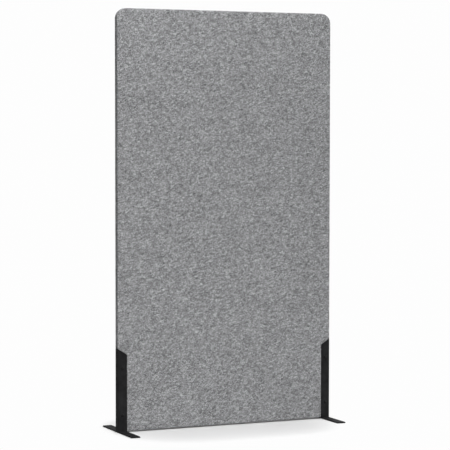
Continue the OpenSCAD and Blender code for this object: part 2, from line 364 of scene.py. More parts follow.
# The rim's rings as (way out from the flat part, way back from the face): round the edge,
# down to the seam, in along the seam allowance and back along the inner side.
turned_edge_steps = 5
turned_rings = [
    (
        edge_r * math.sin(math.pi / 2 * step / turned_edge_steps),
        edge_r * (1 - math.cos(math.pi / 2 * step / turned_edge_steps)),
    )
    for step in range(1, turned_edge_steps + 1)
]
seam_rings = [
    (edge_r, face_y - 0.0060),
    (edge_r, face_y - 0.0032),
    (edge_r - 0.00008, face_y - 0.0012),
    (edge_r - 0.00045, face_y - 0.0004),
    (edge_r - 0.0012, face_y - 0.00005),
]
inner_rings = [
    (edge_r - felt_t, face_y - 0.00005),
    (edge_r - felt_t, edge_r),
    ((edge_r - felt_t) * 0.7, edge_r - (edge_r - felt_t) * 0.7),
    (0.0, felt_t),
]
felt_rings = turned_rings + seam_rings + inner_rings
tight_side = 0.5
rim_dip = 0.0005
rim_dip_width = 0.010
top_nap = 0.0018
nap_depth = 0.0022
foot_mark_edges = (-foot_touch, 0.0005, 0.0013, 0.0026)
foot_mark_margin = 0.012
least_felt_t = 0.0003
felt_tolerance = 1e-6


def felt_cover(name, face, seed):
    """One half of the cover, from its cut sheet to the turned-in seam allowance."""
    wide = round(2 * half_w / felt_cell)
    high = round((flat_top - flat_bottom) / felt_cell)
    bpy.ops.mesh.primitive_grid_add(
        x_subdivisions=wide,
        y_subdivisions=high,
        size=1,
        location=(0, face * face_y, (flat_bottom + flat_top) / 2),
        rotation=(math.pi / 2, 0, 0),
    )
    piece = bpy.context.object
    piece.name = name
    piece.scale = (2 * half_w, flat_top - flat_bottom, 1)
    bpy.ops.object.transform_apply()
    for vertex in piece.data.vertices:
        round_corner(vertex.co, flat_top - flat_corner_r, flat_corner_r, 1)
        round_corner(vertex.co, flat_bottom + felt_cell, felt_cell, -1)

    # Turn the rim over the edge, ring by ring.
    flat_count = len(piece.data.vertices)
    bpy.ops.object.mode_set(mode="EDIT")
    bpy.ops.mesh.select_all(action="SELECT")
    bpy.ops.mesh.region_to_loop()
    for _ in felt_rings:
        bpy.ops.mesh.extrude_edges_move()
    bpy.ops.mesh.edge_face_add()
    bpy.ops.object.mode_set(mode="OBJECT")
    ring_count = (len(piece.data.vertices) - flat_count) // len(felt_rings)
    for index, (out, deep) in enumerate(felt_rings):
        start = flat_count + index * ring_count
        for vertex in piece.data.vertices[start:start + ring_count]:
            way = outline_normal(vertex.co.x, vertex.co.z)
            reach, drop = out, deep
            if index < turned_edge_steps:
                # The upright edges are pulled tight, and so turn in a squarer bend.
                clear = clear_of_foot(vertex.co.x, vertex.co.z)
                power = 1 - tight_side * abs(way.x) * clear
                reach = edge_r * (out / edge_r) ** power
                drop = edge_r * (1 - max(0, 1 - deep / edge_r) ** power)
            vertex.co += Vector((way.x * reach, -face * drop, way.y * reach))

    # Extra edges beside the feet, where the felt rolls down to them.
    bpy.ops.object.mode_set(mode="EDIT")
    near_x = flange_edge - foot_mark_margin
    near_z = foot_high.z + foot_mark_margin
    select_where(piece, lambda c: abs(c.x) > near_x and c.z < near_z)
    bpy.ops.mesh.hide(unselected=True)
    for side in (-1, 1):
        for away in foot_mark_edges:
            bpy.ops.mesh.select_all(action="SELECT")
            bpy.ops.mesh.bisect(
                plane_co=(side * (flange_edge - away), 0, 0),
                plane_no=(1, 0, 0),
            )
            bpy.ops.mesh.select_all(action="SELECT")
            bpy.ops.mesh.bisect(
                plane_co=(side * foot_high.x, 0, foot_high.z + away / math.cos(foot_slope)),
                plane_no=(-side * math.sin(foot_slope), 0, math.cos(foot_slope)),
            )
    bpy.ops.mesh.reveal()
    bpy.ops.mesh.select_all(action="SELECT")
    bpy.ops.mesh.normals_make_consistent(inside=False)
    bpy.ops.object.mode_set(mode="OBJECT")

    # Press and raise the outer side. The inner side stays as it is, and so does the seam
    # allowance, but for the feet, which press it too.
    seam_depth = seam_rings[-2][1] - felt_tolerance
    inner_out = edge_r - felt_t + felt_tolerance
    moves = []
    for vertex in piece.data.vertices:
        deep = face_y - abs(vertex.co.y)
        offset = rim_offset(vertex.co.x, vertex.co.z)
        if deep > felt_t - felt_tolerance and offset < inner_out:
            continue
        way = outline_normal(vertex.co.x, vertex.co.z)
        if deep > seam_depth:
            spare = offset - (edge_r - felt_t) - least_felt_t
            press = min(foot_press(beyond_foot(vertex.co.x, vertex.co.z)), spare)
            moves.append((vertex, Vector((way.x, 0, way.y)) * -press))
            continue
        turned = min(1, deep / edge_r)
        fall = rim_dip * (1 - turned) * max(0, 1 + min(0, offset) / rim_dip_width) ** 2
        nap = min(1, deep / nap_depth) * top_nap * max(0, way.y)
        clear = clear_of_foot(vertex.co.x, vertex.co.z)
        if offset <= 0:
            outwards = Vector((0, face, 0))
        elif deep >= edge_r:
            outwards = Vector((way.x, 0, way.y))
        else:
            turn = Vector((way.x * offset, face * (edge_r - deep), way.y * offset))
            outwards = turn.normalized()
        lift = felt_height(vertex.co.x, vertex.co.z, seed) + (nap - fall) * clear
        moves.append((vertex, outwards * lift))
    for vertex, move in moves:
        vertex.co += move
    bpy.ops.object.shade_smooth()
    return piece


def sums(tree, first, second, first_share=1.0, second_share=1.0):
    """Two strengths added up, each with its share."""
    scaled = add_node(tree, "Math", operation="MULTIPLY")
    tree.links.new(first, scaled.inputs[0])
    scaled.inputs[1].default_value = first_share
    total = add_node(tree, "Math", operation="MULTIPLY_ADD")
    tree.links.new(second, total.inputs[0])
    total.inputs[1].default_value = second_share
    tree.links.new(scaled.outputs[0], total.inputs[2])
    return total.outputs[0]


wool_lie = math.radians(-16)
wool_greys = (
    (0.613, 0.041),
    (0.670, 0.091),
    (0.716, 0.153),
    (0.765, 0.241),
    (0.814, 0.365),
    (0.861, 0.513),
    (0.917, 0.712),
)


def felt_finish():
    """Melange felt: tufts, strokes and crossing strokes of paler and darker wool, and hairs."""
    finish, tree, surface = new_finish("grey_melange_felt", 0.95, Sheen_Weight=0.08)
    surface.inputs["Sheen Roughness"].default_value = 0.5
    surface.inputs["Specular IOR Level"].default_value = 0.03
    layers = []
    for size, lie, detail, rough, warp in (
        ((0.0130, 0.0095, 0.0085), wool_lie, 2.5, 0.70, 0.6),
        ((0.0125, 0.0040, 0.0030), wool_lie, 2.0, 0.65, 1.0),
        ((0.0036, 0.0036, 0.0050), -wool_lie, 2.0, 0.65, 1.0),
        ((0.0014, 0.0008, 0.0010), wool_lie, 2.0, 0.60, 2.0),
    ):
        place = placed(tree, size=size, turn=(0, lie, 0))
        layers.append(pattern(tree, place, 1.0, detail, rough, warp))
    tufts, strokes, cross, hairs = layers
    broad = pattern(tree, placed(tree), 9, 2.0)
    wool = sums(tree, tufts, strokes, 0.25, 0.31)
    for layer, share in ((cross, 0.41), (hairs, 0.53), (broad, 0.03)):
        wool = sums(tree, wool, layer, 1.0, share)
    stops = [(place, (grey * 0.990, grey, grey * 1.022, 1)) for place, grey in wool_greys]
    tree.links.new(tones(tree, wool, stops), surface.inputs["Base Color"])
    relief(tree, surface, wool, 0.0045, 0.7)
    return finish


grey_felt = felt_finish()
for name, node, face, seed in (
    ("felt_front", "felt_cover_front", -1, 1.3),
    ("felt_rear", "felt_cover_rear", 1, 5.9),
):
    cover = felt_cover(name, face, seed)
    cover.data.materials.append(grey_felt)
    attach(cover, "root")
    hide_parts(node)


# Seam. The two halves of the cover meet in the middle of the edge, where grey thread whips
# them together with a stitch every six millimetres: up one side, over the top and down.
stitch_pitch = 0.006
thread_r = 0.0004
stitch_half = Vector((0.0021, 0.0026))
stitch_slant = math.radians(18)


def one_stitch():
    """An arch of thread over the seam, facing right, whose two ends go into the felt."""
    bpy.ops.mesh.primitive_torus_add(
        major_segments=12,
        minor_segments=5,
        major_radius=1,
        minor_radius=thread_r / stitch_half.x,
    )
    piece = bpy.context.object
    piece.scale = (stitch_half.x, stitch_half.y, stitch_half.x)
    bpy.ops.object.transform_apply()
    bpy.ops.object.mode_set(mode="EDIT")
    bpy.ops.mesh.select_all(action="SELECT")
    bpy.ops.mesh.bisect(plane_co=(0, 0, 0), plane_no=(1, 0, 0), clear_inner=True, use_fill=True)
    bpy.ops.object.mode_set(mode="OBJECT")
    piece.rotation_euler.x = stitch_slant
    piece.location.x = cover_high.x - stitch_half.x
    bpy.ops.object.transform_apply()
    return piece


def repeat(piece, count, step):
    """Copies a piece in a straight row."""
    bpy.context.view_layer.objects.active = piece
    row = piece.modifiers.new("row", "ARRAY")
    row.count = count
    row.use_relative_offset = False
    row.use_constant_offset = True
    row.constant_offset_displace = step
    bpy.ops.object.modifier_apply(modifier=row.name)


def join(name, pieces):
    """Makes several objects one piece, with its faces turned outwards."""
    bpy.ops.object.select_all(action="DESELECT")
    for piece in pieces:
        piece.select_set(True)
    bpy.context.view_layer.objects.active = pieces[0]
    if len(pieces) > 1:
        bpy.ops.object.join()
    bpy.ops.object.mode_set(mode="EDIT")
    bpy.ops.mesh.select_all(action="SELECT")
    bpy.ops.mesh.normals_make_consistent(inside=False)
    bpy.ops.object.mode_set(mode="OBJECT")
    whole = bpy.context.object
    whole.name = name
    return whole


def seam_thread():
    corner_z = cover_high.z - corner_r
    first_z = foot_high.z + stitch_pitch
    upright_run = one_stitch()
    for vertex in upright_run.data.vertices:
        vertex.co.z += first_z
    repeat(upright_run, int((corner_z - first_z) / stitch_pitch), (0, 0, stitch_pitch))

    corner_steps = round(corner_r * math.pi / 2 / stitch_pitch)
    corner_run = one_stitch()
    for vertex in corner_run.data.vertices:
        vertex.co.z += corner_z
    bpy.ops.object.mode_set(mode="EDIT")
    bpy.ops.mesh.select_all(action="SELECT")
    bpy.ops.mesh.spin(
        steps=corner_steps,
        dupli=True,
        angle=-math.pi / 2,
        center=(cover_high.x - corner_r, 0, corner_z),
        axis=(0, 1, 0),
    )
    bpy.ops.object.mode_set(mode="OBJECT")

    top_half = cover_high.x - corner_r
    top_count = round(2 * top_half / stitch_pitch) - 1
    top_run = one_stitch()
    top_run.rotation_euler.y = -math.pi / 2
    top_run.location.z = cover_high.z - cover_high.x
    bpy.ops.object.transform_apply()
    for vertex in top_run.data.vertices:
        vertex.co.x -= (top_count - 1) / 2 * stitch_pitch
    repeat(top_run, top_count, (stitch_pitch, 0, 0))

    for run in (upright_run, corner_run):
        bpy.context.view_layer.objects.active = run
        other_side = run.modifiers.new("other_side", "MIRROR")
        other_side.use_mirror_merge = False
        bpy.ops.object.modifier_apply(modifier=other_side.name)
    piece = join("seam_thread", [upright_run, corner_run, top_run])
    bpy.ops.object.shade_smooth()
    return piece


thread = seam_thread()
thread_tones = [(0.35, (0.13, 0.13, 0.135, 1)), (0.65, (0.27, 0.27, 0.275, 1))]
thread.data.materials.append(
    flecked_finish(
        "grey_thread",
        roughness=0.8,
        size=(0.0012, 0.0005, 0.0012),
        stops=thread_tones,
        depth=0.0002,
        Sheen_Weight=0.2,
    )
)
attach(thread, "root")


# Bottom strip. A black woven tape closes the covers under the panel. Staples hold it every
# three inches, and it hangs a little between them.
strip_low, strip_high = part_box("bottom_strip")
staple_count = 12
staple_pitch = (strip_high.x - strip_low.x) / staple_count
strip_cells = (288, 8)
strip_sag = 0.0003
tape_rib = 0.0011


def tape_finish():
    finish, tree, surface = new_finish("black_woven_tape", 0.85, Sheen_Weight=0.15)
    rib_place = placed(tree, size=(tape_rib, tape_rib, tape_rib))
    warp = add_node(tree, "TexWave", bands_direction="Y", Scale=math.pi / 10, Distortion=0.3)
    weft = add_node(tree, "TexWave", bands_direction="X", Scale=math.pi / 10, Distortion=0.3)
    tree.links.new(rib_place, warp.inputs["Vector"])
    tree.links.new(rib_place, weft.inputs["Vector"])
    weave = sums(tree, warp.outputs["Fac"], weft.outputs["Fac"], 0.6, 0.4)
    tree.links.new(
        tones(tree, weave, [(0.1, (0.012, 0.012, 0.013, 1)), (0.9, (0.042, 0.042, 0.045, 1))]),
        surface.inputs["Base Color"],
    )
    relief(tree, surface, weave, 0.0004)
    return finish


def woven_strip():
    size = strip_high - strip_low
    bpy.ops.mesh.primitive_grid_add(
        x_subdivisions=strip_cells[0],
        y_subdivisions=strip_cells[1],
        size=1,
    )
    piece = bpy.context.object
    piece.name = "woven_strip"
    piece.scale = (size.x, size.y, 1)
    piece.location.z = strip_high.z
    bpy.ops.object.transform_apply()
    for vertex in piece.data.vertices:
        share = (vertex.co.x - strip_low.x) / staple_pitch
        hang = strip_sag * (1 + math.cos(2 * math.pi * share)) / 2
        vertex.co.z -= hang * (0.6 + 0.4 * noise.noise(vertex.co * 60))
    thick = piece.modifiers.new("tape", "SOLIDIFY")
    thick.thickness = size.z
    thick.offset = -1
    bpy.ops.object.modifier_apply(modifier=thick.name)
    ease_edges(piece, 0.0002)
    return piece


def ease_edges(piece, radius, steps=2, angle=40):
    """Rounds a hard piece's sharp edges and shades it smooth between them."""
    bpy.context.view_layer.objects.active = piece
    ease = piece.modifiers.new("ease", "BEVEL")
    ease.width = radius
    ease.segments = steps
    ease.limit_method = "ANGLE"
    ease.angle_limit = math.radians(angle)
    bpy.ops.object.modifier_apply(modifier=ease.name)
    bpy.ops.object.select_all(action="DESELECT")
    piece.select_set(True)
    bpy.ops.object.shade_smooth_by_angle(angle=math.radians(35))
    flats = piece.modifiers.new("flats", "WEIGHTED_NORMAL")
    flats.keep_sharp = True
    bpy.ops.object.modifier_apply(modifier=flats.name)


strip = woven_strip()
strip.data.materials.append(tape_finish())
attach(strip, "root")
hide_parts("bottom_strip")


# Staples. Twelve staples of round zinc-plated wire hold the strip. Their legs go up through
# the felt and the fleece into the bottom rail.
staple_low, staple_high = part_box("strip_staples")
wire_r = 0.00045
wire_bend_r = 0.0009
wire_bend_steps = 5
wire_sides = 10


def drawn_out(name, section, stations):
    """A closed bar: a section of points carried through a list of places, end to end."""
    bpy.ops.mesh.primitive_circle_add(vertices=len(section), radius=0.001, fill_type="NGON")
    piece = bpy.context.object
    piece.name = name
    for vertex, corner in zip(piece.data.vertices, section):
        vertex.co = stations[0] @ corner
    for before, after in zip(stations, stations[1:]):
        bpy.ops.object.mode_set(mode="EDIT")
        bpy.ops.mesh.extrude_region_move()
        bpy.ops.object.mode_set(mode="OBJECT")
        onward = after @ before.inverted()
        for vertex in piece.data.vertices:
            if vertex.select:
                vertex.co = onward @ vertex.co
    return join(name, [piece])


def wire_staples():
    section = [
        Vector((wire_r * math.cos(turn), wire_r * math.sin(turn), 0))
        for turn in (2 * math.pi * side / wire_sides for side in range(wire_sides))
    ]
    leg_y = staple_high.y - wire_r
    crown_z = staple_low.z + wire_r
    bend_y = leg_y - wire_bend_r
    bend_z = crown_z + wire_bend_r
    route = [(-leg_y, staple_high.z, math.pi), (-leg_y, bend_z, math.pi)]
    for step in range(1, wire_bend_steps + 1):
        turn = math.pi / 2 * step / wire_bend_steps
        route.append((
            -bend_y - wire_bend_r * math.cos(turn),
            bend_z - wire_bend_r * math.sin(turn),
            math.pi - turn,
        ))
    route += [(-y, z, math.pi - turn) for y, z, turn in reversed(route)]
    first_x = strip_low.x + staple_pitch / 2
    stations = [
        Matrix.Translation((first_x, y, z)) @ Matrix.Rotation(-turn, 4, "X")
        for y, z, turn in route
    ]
    piece = drawn_out("wire_staples", section, stations)
    repeat(piece, staple_count, (staple_pitch, 0, 0))
    ease_edges(piece, 0.0001, 1, 60)
    return piece


staples = wire_staples()
zinc_tones = [(0.3, (0.46, 0.47, 0.49, 1)), (0.7, (0.66, 0.67, 0.69, 1))]
staples.data.materials.append(
    flecked_finish(
        "zinc_plated_wire",
        roughness=0.36,
        size=(0.0008, 0.0030, 0.0030),
        stops=zinc_tones,
        depth=0.0001,
        cloud=(3.0, 0.5, 0.0),
        Metallic=1.0,
    )
)
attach(staples, "root")
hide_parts("strip_staples")


# Foot brackets. Each is one sheet of two-millimetre steel folded to a channel round the
# panel's edge, with a sloped top, and powder coated in matt black.
bracket_sheet = 0.002
fold_outer_r = 0.003
fold_steps = 6
bolt_heights = (0.073, 0.273)
bolt_bore_r = 0.00325
barrel_bore_r = 0.00475
steel_tolerance = 1e-4


def coated_steel_finish():
    finish, tree, surface = new_finish("black_powder_coat", 0.62)
    surface.inputs["Specular IOR Level"].default_value = 0.015
    peel = pattern(tree, placed(tree), 900, 2.0)
    wear = pattern(tree, placed(tree), 26, 3.0)
    stops = [(0.3, (0.0124, 0.0124, 0.0130, 1)), (0.7, (0.0220, 0.0220, 0.0230, 1))]
    tree.links.new(tones(tree, wear, stops), surface.inputs["Base Color"])
    relief(tree, surface, peel, 0.00018, 0.5)
    return finish


def cut_with(piece, cutter):
    """Takes a cutter's shape out of a piece."""
    bpy.context.view_layer.objects.active = piece
    cut = piece.modifiers.new("cut", "BOOLEAN")
    cut.object = cutter
    cut.solver = "EXACT"
    bpy.ops.object.modifier_apply(modifier=cut.name)
    bpy.data.objects.remove(cutter)


def foot_bracket(name, side, low, high):
    size = high - low
    bpy.ops.mesh.primitive_cube_add(size=1, location=(low + high) / 2, scale=size)
    piece = bpy.context.object
    piece.name = name
    bpy.ops.object.transform_apply()
    # Leave the two flanges and the web, then fold them.
    web_x = high.x if side > 0 else low.x
    bpy.ops.object.mode_set(mode="EDIT")
    select_where(
        piece,
        lambda c: abs(abs(c.x) - abs(web_x)) > steel_tolerance and abs(c.y) < steel_tolerance,
    )
    bpy.ops.mesh.delete(type="FACE")
    bpy.ops.mesh.select_mode(type="EDGE")
    bpy.ops.mesh.select_all(action="DESELECT")
    bpy.ops.object.mode_set(mode="OBJECT")
    for edge in piece.data.edges:
        ends = [piece.data.vertices[i].co for i in edge.vertices]
        upright = ends[0].y * ends[1].y > 0
        edge.select = upright and all(abs(end.x - web_x) < steel_tolerance for end in ends)
    bpy.ops.object.mode_set(mode="EDIT")
    bpy.ops.mesh.bevel(offset=fold_outer_r, segments=fold_steps, profile=0.5)
    # Slope the top, from the fold down to the flange's free edge.
    bpy.ops.mesh.select_all(action="SELECT")
    bpy.ops.mesh.bisect(
        plane_co=(web_x, 0, high.z),
        plane_no=(-side * math.sin(foot_slope), 0, math.cos(foot_slope)),
        clear_outer=True,
    )
    bpy.ops.mesh.select_all(action="SELECT")
    bpy.ops.mesh.normals_make_consistent(inside=False)
    bpy.ops.object.mode_set(mode="OBJECT")
    thick = piece.modifiers.new("sheet", "SOLIDIFY")
    thick.thickness = bracket_sheet
    thick.offset = -1
    thick.use_even_offset = True
    bpy.ops.object.modifier_apply(modifier=thick.name)
    for height in bolt_heights:
        for face_side, bore_r in ((low.y, bolt_bore_r), (high.y, barrel_bore_r)):
            bpy.ops.mesh.primitive_cylinder_add(
                vertices=32,
                radius=bore_r,
                depth=4 * bracket_sheet,
                location=((low.x + high.x) / 2, face_side, height),
                rotation=(math.pi / 2, 0, 0),
            )
            cut_with(piece, bpy.context.object)
    ease_edges(piece, 0.0003)
    return piece


black_steel = coated_steel_finish()
for word, side in (("left", -1), ("right", 1)):
    node = "foot_bracket_" + word
    piece = foot_bracket("bracket_" + word, side, *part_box(node))
    piece.data.materials.append(black_steel)
    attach(piece, "root")
    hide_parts(node)


# Base plates. A flat bar runs across under each bracket, from the front to the back, with
# its corners rounded and its edges eased before coating.
plate_corner_r = 0.003


def base_plate(name, low, high):
    bpy.ops.mesh.primitive_cube_add(size=1, location=(low + high) / 2, scale=high - low)
    piece = bpy.context.object
    piece.name = name
    bpy.ops.object.transform_apply()
    bpy.ops.object.mode_set(mode="EDIT")
    bpy.ops.mesh.select_mode(type="EDGE")
    bpy.ops.mesh.select_all(action="DESELECT")
    bpy.ops.object.mode_set(mode="OBJECT")
    for edge in piece.data.edges:
        first, last = (piece.data.vertices[i].co for i in edge.vertices)
        edge.select = abs(first.z - last.z) > steel_tolerance
    bpy.ops.object.mode_set(mode="EDIT")
    bpy.ops.mesh.bevel(offset=plate_corner_r, segments=6)
    bpy.ops.object.mode_set(mode="OBJECT")
    ease_edges(piece, 0.0005, 3)
    return piece


for word in ("left", "right"):
    node = "base_plate_" + word
    piece = base_plate("floor_bar_" + word, *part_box(node))
    piece.data.materials.append(black_steel)
    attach(piece, "root")
    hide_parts(node)


# Welds. A short fillet bead joins each flange to the floor bar, in front and behind. It was
# laid in small overlapping pools, which still show under the coating.
weld_leg = 0.003
weld_end_gap = 0.0006
weld_pool = 0.0016
weld_steps = 6
weld_arc_steps = 8
weld_hollow = 1.2
pool_swell = 0.14
pool_lean = 0.0005
bead_uneven = 0.05


def weld_bead(name, low, high, face):
    """One bead along X, in the corner between the flange and the bar."""
    section = [Vector((0, 0, 0))]
    for step in range(weld_arc_steps + 1):
        across = math.pi / 2 * step / weld_arc_steps
        bulge = 0.80 + 0.10 * math.sin(2 * across)
        section.append(Vector((
            weld_leg * bulge * math.cos(across) ** weld_hollow,
            weld_leg * bulge * math.sin(across) ** weld_hollow,
            pool_lean * math.sin(2 * across),
        )))
    stations = []
    first_x = low.x + weld_end_gap
    length = high.x - low.x - 2 * weld_end_gap
    count = round((high.x - low.x) / weld_pool) * weld_steps
    for step in range(count + 1):
        along = step / count
        pool = (step % weld_steps) / weld_steps
        uneven = bead_uneven * noise.noise(Vector((along * 9, face, 4)))
        swell = 1.0 + pool_swell * math.sin(math.pi * pool) + uneven
        end = math.sqrt(max(0.02, 1 - abs(2 * along - 1) ** 12))
        size = swell * end
        corner_y = face * (high.y - weld_leg)
        corner = Matrix.Translation((first_x + length * along, corner_y, low.z))
        lay = Matrix(((0, 0, size, 0), (face * size, 0, 0, 0), (0, size, 0, 0), (0, 0, 0, 1)))
        stations.append(corner @ lay)
    return drawn_out(name, section, stations)


for word in ("left", "right"):
    node = "weld_beads_" + word
    low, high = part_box(node)
    piece = join("welds_" + word, [weld_bead("bead", low, high, face) for face in (-1, 1)])
    bpy.ops.object.shade_smooth_by_angle(angle=math.radians(50))
    piece.data.materials.append(black_steel)
    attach(piece, "root")
    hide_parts(node)


# Connector bolts. Four black bolts with wide, low domed heads and a hexagon socket pass
# through the front flanges and the panel, and screw into sleeve nuts with the same head.
head_r = 0.0075
head_t = 0.002
head_rim = 0.0004
dome_rise = 0.0014
dome_r = (head_r**2 + dome_rise**2) / (2 * dome_rise)
dome_shares = (0.86, 0.74, 0.62, 0.50, 0.36)
socket_w = 0.004
socket_deep = 0.0014
shank_r = 0.003
shank_l = 0.020
bolt_place_x = (foot_low.x + foot_high.x) / 2
head_turns = (10, 47, 25, 3)
small_tolerance = 1e-5


def hardware_finish():
    """Blackened steel: satin, with faint clouds and a fine grain."""
    finish, tree, surface = new_finish("blackened_steel", 0.33)
    surface.inputs["Specular IOR Level"].default_value = 0.11
    grain = pattern(tree, placed(tree, size=(0.0006, 0.0006, 0.0006)), 1.0, 2.0)
    clouds = pattern(tree, placed(tree, size=(0.004, 0.004, 0.004)), 1.0, 2.0)
    stops = [(0.3, (0.0018, 0.0018, 0.0020, 1)), (0.7, (0.0036, 0.0036, 0.0039, 1))]
    tree.links.new(tones(tree, clouds, stops), surface.inputs["Base Color"])
    relief(tree, surface, grain, 0.00008, 0.5)
    return finish


def dome_height(radius):
    """The domed head's height over its seat, at a distance from its middle."""
    return head_t - dome_r + math.sqrt(dome_r**2 - radius**2)


def dome_headed(name, stem_r, stem_l, bore_r=0):
    """A domed head with a hexagon socket on a stem; the head's seat is at zero, facing up."""
    radii = [head_r - head_rim] + [head_r * share for share in dome_shares]
    rim_t = dome_height(radii[0])
    bpy.ops.mesh.primitive_cylinder_add(
        vertices=48,
        radius=head_r,
        depth=rim_t,
        location=(0, 0, rim_t / 2),
    )
    piece = bpy.context.object
    piece.name = name
    bpy.ops.object.transform_apply()
    bpy.ops.object.mode_set(mode="EDIT")
    select_where(piece, lambda c: abs(c.z - rim_t) < small_tolerance)
    bpy.ops.mesh.bevel(offset=head_rim, segments=4)
    select_where(piece, lambda c: abs(c.z - rim_t) < small_tolerance)
    for outer, inner in zip(radii, radii[1:]):
        rise = dome_height(inner) - dome_height(outer)
        bpy.ops.mesh.inset(thickness=outer - inner, depth=rise)
    select_where(piece, lambda c: abs(c.z) < small_tolerance)
    bpy.ops.mesh.inset(thickness=head_r - stem_r)
    bpy.ops.mesh.extrude_region_move(TRANSFORM_OT_translate={"value": (0, 0, -stem_l)})
    if bore_r:
        bpy.ops.mesh.inset(thickness=stem_r - bore_r)
        bore_l = stem_l - rim_t
        bpy.ops.mesh.extrude_region_move(TRANSFORM_OT_translate={"value": (0, 0, bore_l)})
    else:
        bpy.ops.mesh.bevel(offset=stem_r / 5, segments=2)
    bpy.ops.object.mode_set(mode="OBJECT")
    bpy.ops.mesh.primitive_cylinder_add(
        vertices=6,
        radius=socket_w / 2 / math.cos(math.pi / 6),
        depth=2 * socket_deep,
        location=(0, 0, head_t),
    )
    cut_with(piece, bpy.context.object)
    ease_edges(piece, 0.00012)
    return piece


def four_of(name, pattern_piece, face, seat_y):
    """Sets four copies in the feet, each with its head turned its own way."""
    copies = []
    places = [(side, height) for side in (-1, 1) for height in bolt_heights]
    for (side, height), degrees in zip(places, head_turns):
        bpy.ops.object.select_all(action="DESELECT")
        pattern_piece.select_set(True)
        bpy.context.view_layer.objects.active = pattern_piece
        bpy.ops.object.duplicate()
        copy = bpy.context.object
        copy.matrix_world = (
            Matrix.Translation((side * bolt_place_x, seat_y, height))
            @ Matrix.Rotation(-face * math.pi / 2, 4, "X")
            @ Matrix.Rotation(math.radians(degrees), 4, "Z")
        )
        bpy.ops.object.transform_apply()
        copies.append(copy)
    bpy.data.objects.remove(pattern_piece)
    return join(name, copies)


black_hardware = hardware_finish()
bolts = four_of("bolts", dome_headed("bolt", shank_r, shank_l), -1, foot_low.y)
bolts.data.materials.append(black_hardware)
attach(bolts, "root")
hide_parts("connector_bolts")


# Sleeve nuts. Each has the bolt's domed head on a hollow barrel and goes in from behind.
barrel_r = 0.0045
barrel_l = 0.022
barrel_bore = 0.00305
nuts = four_of("barrel_nuts", dome_headed("nut", barrel_r, barrel_l, barrel_bore), 1, foot_high.y)
nuts.data.materials.append(black_hardware)
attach(nuts, "root")
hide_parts("sleeve_nuts")


# Floor pads. Four thin rubber discs under the ends of the bars spare the floor; a groove
# runs round each underside.
pad_low, pad_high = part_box("floor_pads")
pad_r = 0.015
pad_rim = 0.003
pad_groove = 0.002
pad_groove_deep = 0.0004
pad_row_y = 0.15


def rubber_pads():
    height = pad_high.z - pad_low.z
    bpy.ops.mesh.primitive_cylinder_add(
        vertices=48,
        radius=pad_r,
        depth=height,
        location=(pad_low.x + pad_r, -pad_row_y, height / 2),
    )
    piece = bpy.context.object
    bpy.ops.object.transform_apply()
    bpy.ops.object.mode_set(mode="EDIT")
    select_where(piece, lambda c: abs(c.z) < small_tolerance)
    bpy.ops.mesh.inset(thickness=pad_rim)
    bpy.ops.mesh.inset(thickness=pad_groove)
    middle = Vector((pad_low.x + pad_r, -pad_row_y, 0))
    outer = pad_r - pad_rim
    inner = outer - pad_rim
    select_where(
        piece,
        lambda c: abs(c.z) < small_tolerance and outer > (c - middle).length > inner,
    )
    bpy.ops.mesh.extrude_region_move(TRANSFORM_OT_translate={"value": (0, 0, pad_groove_deep)})
    bpy.ops.object.mode_set(mode="OBJECT")
    repeat(piece, 2, (2 * abs(pad_low.x + pad_r), 0, 0))
    repeat(piece, 2, (0, 2 * pad_row_y, 0))
    piece = join("rubber_pads", [piece])
    ease_edges(piece, 0.0001, 2, 50)
    return piece


pads = rubber_pads()
rubber_tones = [(0.3, (0.012, 0.012, 0.012, 1)), (0.7, (0.028, 0.028, 0.028, 1))]
rubber = flecked_finish("pad_rubber", 0.75, (0.0008, 0.0008, 0.0008), rubber_tones, 0.0003)
pads.data.materials.append(rubber)
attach(pads, "root")
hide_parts("floor_pads")


# Floor and light. The floor is plain and pale. The screen's soft shadow on it is partly cast by
# the lamps and partly painted into the floor by place: the painted shade fades out within half a
# metre in front and behind and ends at the feet, a dark crease shadow is painted under the panel,
# and for light bounced back onto the screen the floor is painted brighter near it. A broad key
# light comes from the front right; one lamp stands low in front, one above and one behind on the
# right, and the sky is even.
shadow_half_x = 0.52
shadow_half_y = 0.395
shadow_shift = -0.02
shadow_depth = 0.88
end_sharpness = 4.0
front_sharpness = 2.0
shadow_fade = 1.5
shadow_grey = 0.742
contact_reach = 0.06
contact_sharpness = 2.0
# A dark contact shadow is painted on the floor under the panel; these values set its grey and its
# extent.
crease_shadow_grey = 0.31
crease_shadow_front = (0.005, 0.011)
crease_shadow_back = (0.045, 0.015)
crease_shadow_end = 0.01
# The floor that bounces light onto the screen is painted brighter near the panel, under the painted
# shadow: painted bounce light.
open_bounce = 0.71
painted_bounce_near = 0.81
sky_level = 0.19
white_level = 0.985


def maths(tree, operation, first, second=0.0):
    """One sum; either number may be a node's output."""
    node = add_node(tree, "Math", operation=operation)
    for socket, value in zip(node.inputs, (first, second)):
        if isinstance(value, float):
            socket.default_value = value
        else:
            tree.links.new(value, socket)
    return node.outputs[0]


def plain_grey(level):
    return (level, level, level, 1)


def seen_rays(tree):
    """One for the rays that show the background: straight, mirrored and through glass."""
    path = add_node(tree, "LightPath")
    glossy, glassy = path.outputs["Is Glossy Ray"], path.outputs["Is Transmission Ray"]
    not_straight = maths(tree, "MAXIMUM", glossy, glassy)
    return maths(tree, "MAXIMUM", path.outputs["Is Camera Ray"], not_straight)


